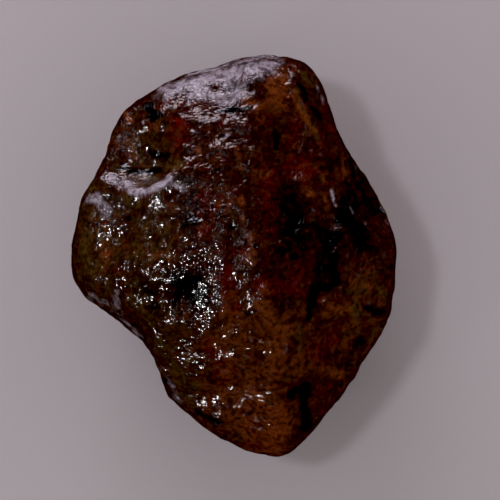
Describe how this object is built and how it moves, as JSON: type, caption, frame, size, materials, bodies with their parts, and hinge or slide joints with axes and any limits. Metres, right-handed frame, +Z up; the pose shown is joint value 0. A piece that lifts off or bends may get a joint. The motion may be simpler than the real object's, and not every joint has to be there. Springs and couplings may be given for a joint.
{
  "type": "raw amber nugget",
  "caption": "Rough see-through nugget of dark red-brown fossil resin with worn facets, hollows and ledges, lying on a small flat worn underneath.",
  "frame": {"origin": "centre of the nugget's box at table height, under the nugget", "axes": "+Z up from the table; +Y along the nugget's longest way, towards its broad glossy end; +X across it, towards its steep dark side"},
  "size_m": [0.0276, 0.0342, 0.0179],
  "materials": {
    "amber": "glossy, partly clear dark red-brown resin, mottled with cloudy olive-brown and black crust in its hollows, finely pitted"
  },
  "bodies": {
    "root": {"amber_nugget": "amber"}
  },
  "joints": []
}
